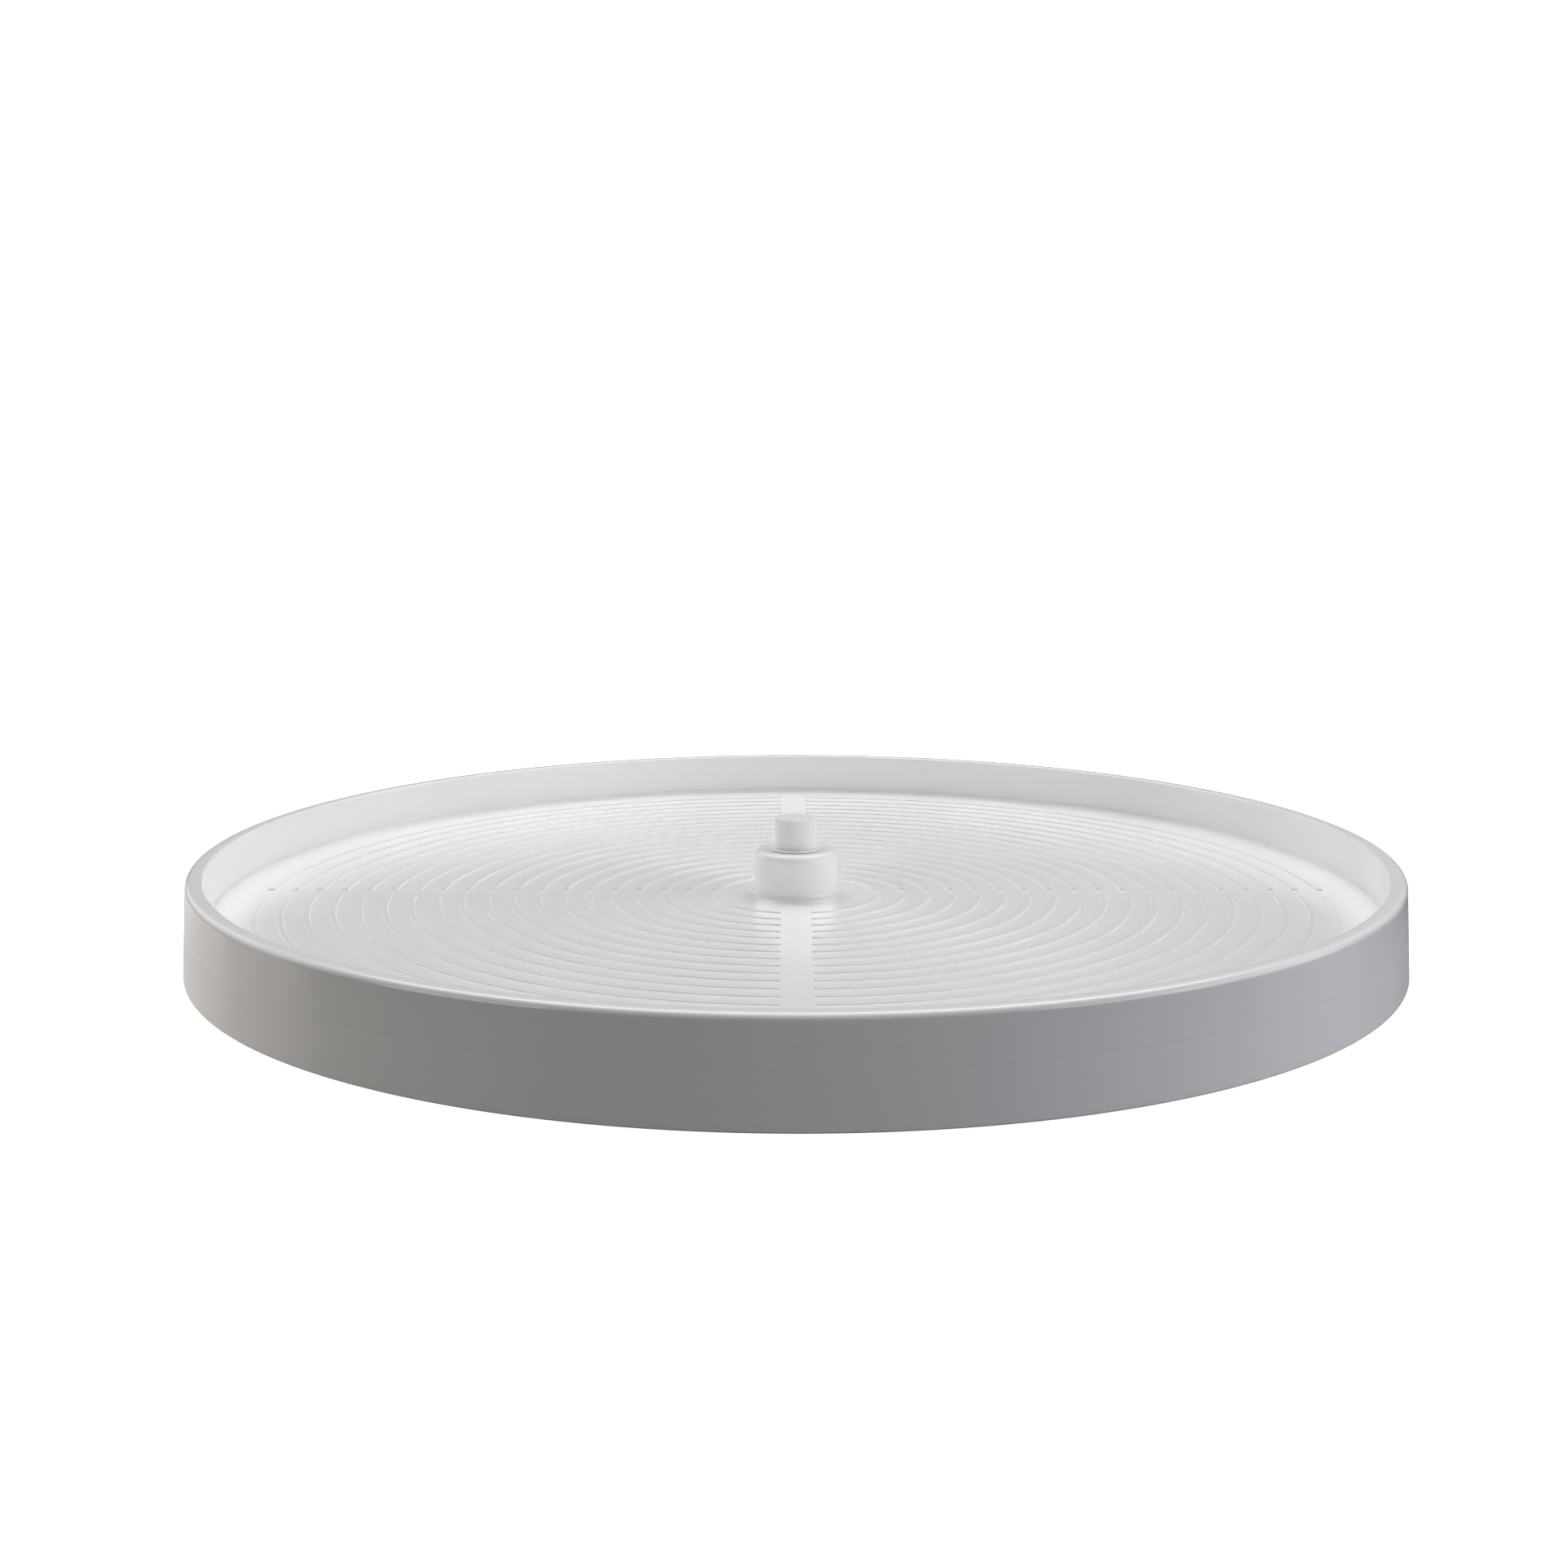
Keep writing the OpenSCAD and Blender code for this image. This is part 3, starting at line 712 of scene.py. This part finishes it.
step_back = rings.maths("MULTIPLY", rings.maths("MAXIMUM", spot["Z"], 0.0), ring_draft / ring_h)
clear = rings.maths("MULTIPLY_ADD", rings.given["Strip"], 0.5, step_back)
begin = rings.maths("ARCSINE", rings.maths("DIVIDE", clear, radius))
span = rings.maths("SUBTRACT", math.pi / 2, rings.maths("MULTIPLY", begin, 2.0))
within = rings.maths("MULTIPLY_ADD", spot["X"], span, begin)
turned = rings.maths("MULTIPLY_ADD", quarter_of, math.pi / 2, within)
bent = rings.point(
    rings.maths("MULTIPLY", radius, rings.maths("COSINE", turned)),
    rings.maths("MULTIPLY", radius, rings.maths("SINE", turned)),
    rings.maths("ADD", rings.given["Floor"], spot["Z"]),
)
laid = rings.node("GeometryNodeSetPosition", {"Geometry": real.outputs[0], "Position": bent}).outputs[0]
for label in labels:
    laid = rings.node("GeometryNodeRemoveAttribute", {"Geometry": laid, "Name": label}).outputs[0]
rings.close(laid)
print("ring recipe:", len(rings.tree.nodes), "nodes")

# %% Make the rings
ring_sizes = {
    "Rings": ring_count,
    "First": first_ring_r,
    "Pitch": ring_pitch,
    "Strip": strip_w,
    "Floor": floor_top,
}
anti_slip = run(rings, straight_ring, "anti_slip_rings", tray_white, **ring_sizes)

# %% [markdown]
# ## Spokes and bosses
# Twelve spokes run from the hub to the rim's outer skin and tie the hoops together. Four
# short bosses take the screws of the upper race. Both are made once and set round the
# axis.

# %% Make the spokes and the bosses
sunk = 0.5 * mm
spoke_start = hub_r - sunk
spoke_end = rim_r - (rim_lean + outer_skin) / 2
slim = hoop_t / 2 - hoop_draft - edge_round
spoke_section = [
    (hoop_t / 2, floor_under + sunk),
    *arc(slim, stiff_bottom + edge_round, edge_round, 0, -90, 3),
    *arc(-slim, stiff_bottom + edge_round, edge_round, -90, -180, 3),
    (-hoop_t / 2, floor_under + sunk),
]
spoke = bar("spoke", spoke_section, spoke_start, spoke_end)
spokes = run(pattern, spoke, "spokes", tray_white, Count=12, Radius=0.0, Turn=0.0)
boss_r = 3.5 * mm
pilot_r = 1.55 * mm
pilot_top = race_seat + 4.85 * mm
boss_points = [
    (0, floor_under + sunk), (boss_r, floor_under + sunk),
    *arc(boss_r - edge_round, race_seat + edge_round, edge_round, 0, -90, 3),
    (pilot_r, race_seat), (pilot_r, pilot_top), (0, pilot_top),
]
boss = run(turning, outline("boss_section", boss_points, closed=False), "boss", tray_white, Steps=32)
screw_circle_r = race_out - 4 * mm
boss_sizes = {"Count": 4, "Radius": screw_circle_r, "Turn": math.pi / 4}
bosses = run(pattern, boss.data, "bosses", tray_white, **boss_sizes)
bpy.data.objects.remove(boss)

# %% [markdown]
# ## One moulding
# Rim, floor, collar, rings, spokes and bosses leave the mould as one piece, so they are
# joined into one object that stands for the tray of the engineering model and turns with
# its body.

# %% Join the tray and put it on its body
tray = join("tray", [tray_body, anti_slip, spokes, bosses])
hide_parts("tray")
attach(tray, "turning_tray")
print("tray:", len(tray.data.polygons), "faces")

# %% [markdown]
# ## The post and its washer
# The post is a plain rod. Its edges are broken by a small chamfer whose corners are
# soft, a groove near the top holds the snap-on washer, and a threaded hole in the foot
# takes the screw from below. The washer is punched from thin sheet: one edge is rolled
# over by the punch, the other stays sharper.

# %% Turn the post
chamfer = 0.3 * mm
groove_depth = 0.8 * mm
groove_gap = 0.05 * mm
groove_soft = 0.1 * mm
groove_low = washer_low.z - groove_gap
groove_high = washer_high.z + groove_gap
thread_r = 3.05 * mm
thread_top = post_low.z + 12.65 * mm
post_points = [
    (0, thread_top), (thread_r, thread_top), (thread_r, post_low.z),
    (post_r - chamfer, post_low.z), (post_r, post_low.z + chamfer),
    (post_r, groove_low), (post_r - groove_depth, groove_low),
    (post_r - groove_depth, groove_high),
    *arc(post_r - groove_soft, groove_high + groove_soft, groove_soft, -90, 0, 3),
    *arc(post_r - chamfer, post_high.z - chamfer, chamfer, 0, 90, 5),
    (post_r - 2 * chamfer, post_high.z), (0, post_high.z),
]
post = run(turning, outline("post_section", post_points, closed=False), "post", post_white, Steps=160)
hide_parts("post")
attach(post, "swivel_base")

# %% Turn the retaining washer
washer_in = post_r - groove_depth + groove_gap
washer_r = washer_high.x
rolled = 0.18 * mm
sheared = 0.06 * mm
washer_points = [
    (washer_in, washer_low.z),
    *arc(washer_r - sheared, washer_low.z + sheared, sheared, -90, 0, 2),
    *arc(washer_r - rolled, washer_high.z - rolled, rolled, 0, 90, 5),
    (washer_in, washer_high.z),
]
washer = run(turning, outline("washer_section", washer_points), "retaining_washer", washer_nylon, Steps=128)
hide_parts("retaining_washer")
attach(washer, "swivel_base")

# %% [markdown]
# ## The bushes
# Two nylon sleeves are pressed into the hub and run on the post. The lower one has a
# flange that keeps it from being pushed through. A bush has a small lead-in chamfer at
# each end, or it would shave the bore while it is pressed in.

# %% Turn the bushes
def bush(name, flange_r):
    low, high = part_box(name)
    running_play = 0.06 * mm
    inner = post_r + running_play
    outer = inner + 1.5 * mm
    lead = 0.25 * mm
    points = [(inner, low.z + lead), (inner + lead, low.z)]
    if flange_r:
        flange_t = 1.2 * mm
        points += arc(flange_r - lead, low.z + lead, lead, -90, 0, 3)
        points += arc(flange_r - lead, low.z + flange_t - lead, lead, 0, 90, 3)
        points += [(outer, low.z + flange_t)]
    else:
        points += [(outer - lead, low.z), (outer, low.z + lead)]
    points += [(outer, high.z - lead), (outer - lead, high.z)]
    points += [(inner + lead, high.z), (inner, high.z - lead)]
    made = run(turning, outline(name + "_section", points), name, bush_nylon, Steps=96)
    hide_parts(name)
    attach(made, "turning_tray")


bush("upper_bush", None)
bush("lower_bush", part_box("lower_bush")[1].x)

# %% [markdown]
# ## Balls and feet
# Sixteen balls and six feet are the same shape again and again. Half a circle turned
# about its own axis is a ball with clean poles, and a foot is a disc with a soft lower
# edge and a shallow round dip in its sole.

# %% Set the balls round the track
ball_low, ball_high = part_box("ball_01")
ball_r = (ball_high.z - ball_low.z) / 2
ball_z = (ball_high.z + ball_low.z) / 2
ball_names = [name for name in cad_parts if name.startswith("ball_") and name[-1].isdigit()]
half_round = outline("half_circle", arc(0, ball_z, ball_r, -90, 90, 18), closed=False)
one_ball = run(turning, half_round, "one_ball", ball_chrome, Steps=36)
ball_sizes = {"Count": len(ball_names), "Radius": track_r, "Turn": 0.0}
balls = run(pattern, one_ball.data, "bearing_balls", ball_chrome, **ball_sizes)
bpy.data.objects.remove(one_ball)
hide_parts(*ball_names)
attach(balls, "ball_ring")

# %% Set the feet round the base
foot_low, foot_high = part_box("foot_1")
foot_r = (foot_high.x - foot_low.x) / 2
foot_circle_r = (foot_high.x + foot_low.x) / 2
foot_names = [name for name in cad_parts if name.startswith("foot_")]
foot_soft = 0.8 * mm
sole_dip = 0.3 * mm
dip_r = 0.55 * foot_r
sole_r = 0.6 * foot_r
foot_points = [
    (0, foot_low.z + sole_dip), (dip_r, foot_low.z + sole_dip), (sole_r, foot_low.z),
    *arc(foot_r - foot_soft, foot_low.z + foot_soft, foot_soft, -90, 0, 6),
    (foot_r, foot_high.z), (0, foot_high.z),
]
foot = run(turning, outline("foot_section", foot_points, closed=False), "one_foot", foot_black, Steps=64)
foot_sizes = {"Count": len(foot_names), "Radius": foot_circle_r, "Turn": 0.0}
feet = run(pattern, foot.data, "rubber_feet", foot_black, **foot_sizes)
bpy.data.objects.remove(foot)
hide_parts(*foot_names)
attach(feet, "swivel_base")

# %% [markdown]
# ## Pieces kept from the engineering model
# The races, the cage, the screws and the base already have their true shape, down to the
# crossed recess in a screw's head. They stay as they are and get their finish. A node's
# slots are emptied and its finish goes into one new slot.

# %% Give the kept pieces their finishes
kept = {
    "upper_race": race_zinc,
    "lower_race": race_zinc,
    "upper_race_screws": screw_zinc,
    "lower_race_screws": screw_zinc,
    "post_screw": screw_zinc,
    "post_screw_washer": washer_zinc,
    "ball_cage": cage_nylon,
    "base_plate": base_grey,
}
for name, material in kept.items():
    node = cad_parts[name]
    node.data.materials.clear()
    node.data.materials.append(material)
print("kept pieces:", len(kept))

# %% [markdown]
# ## The stage
# A white sweep: a level floor that curves up into a wall, so there is no line where the
# floor ends. It glows, to stay white right up to the object. It lights nothing, shows in
# no reflection and casts no shadow, so the low panels can stand behind it and the rim's
# front stays dark against it.

# %% Sweep up the backdrop
def white_sweep():
    paint = bpy.data.materials.new("white_sweep")
    paint.use_nodes = True
    shader = paint.node_tree.nodes["Principled BSDF"]
    shader.inputs["Base Color"].default_value = grey(0.8)
    shader.inputs["Roughness"].default_value = 1.0
    shader.inputs["Specular IOR Level"].default_value = 0.0
    shader.inputs["Emission Color"].default_value = grey(1.0)
    shader.inputs["Emission Strength"].default_value = 1.0
    return paint


sweep_r = 4.0
sweep_top = 5.0
flat_r = 1.0
bend = 1.0
sweep_points = [(0, 0), (flat_r, 0), *arc(sweep_r - bend, bend, bend, -90, 0, 24), (sweep_r, sweep_top)]
sweep = run(turning, outline("sweep_section", sweep_points, closed=False), "sweep", white_sweep(), Steps=96)
sweep.visible_diffuse = False
sweep.visible_glossy = False
sweep.visible_shadow = False

# %% [markdown]
# ## Studio light
# Two large soft boxes, one overhead and one high up behind, make the floor of the tray
# the brightest part. Panels stand round the object in two rings, one just above it and
# one below it, and each shapes one part of the rim: warm from the left, cool from the
# right, and none straight in front, where the rim is darkest. The panels are large and
# dim, so that no rounded edge shows a hard white line. They are area lights that the
# camera doesn't see. A panel's strength is its brightness, so its power grows with its
# area. Three tints and round strengths are enough: a rig that can be read is easy to
# change.

# %% Hang the lights
PLAIN = (1, 1, 1)
WARM = (1, 0.96, 0.92)
COOL = (0.88, 0.9, 1)
lamp_distance = 1.6


def panel(name, bearing, rise, width, height, brightness, tint):
    """A soft box that faces the tray. Bearing 0 is in front of it, 90 to its right."""
    a, e = math.radians(bearing), math.radians(rise)
    lamp = bpy.data.lights.new(name, "AREA")
    lamp.shape = "RECTANGLE"
    lamp.size = width
    lamp.size_y = height
    lamp.energy = brightness * width * height * math.pi
    lamp.color = tint
    holder = bpy.data.objects.new(name, lamp)
    holder.location = (
        lamp_distance * math.sin(a) * math.cos(e),
        -lamp_distance * math.cos(a) * math.cos(e),
        lamp_distance * math.sin(e),
    )
    holder.rotation_euler = (math.pi / 2 - e, 0, a)
    holder.visible_camera = False
    bpy.context.scene.collection.objects.link(holder)


panel("overhead", 0, 90, 1.5, 1.5, 1.0, PLAIN)
panel("high_behind", 180, 65, 2.0, 1.2, 2.6, PLAIN)
panel("left_front", -55, 12, 0.9, 0.7, 2.5, WARM)
panel("left_back", -120, 16, 1.6, 0.9, 0.8, WARM)
panel("right_front", 55, 12, 0.9, 0.7, 2.8, COOL)
panel("right_side", 85, 16, 1.2, 0.9, 2.0, PLAIN)
panel("low_left", -105, -14, 0.9, 0.6, 0.8, WARM)
panel("low_left_back", -135, -14, 0.9, 0.6, 1.0, WARM)
panel("low_right", 95, -14, 0.9, 0.6, 0.3, COOL)
world = bpy.data.worlds.new("dark_studio")
world.use_nodes = True
world.node_tree.nodes["Background"].inputs["Color"].default_value = grey(0.0)
bpy.context.scene.world = world
bpy.context.scene.view_settings.view_transform = "Standard"
print(len(bpy.data.lights), "lights")
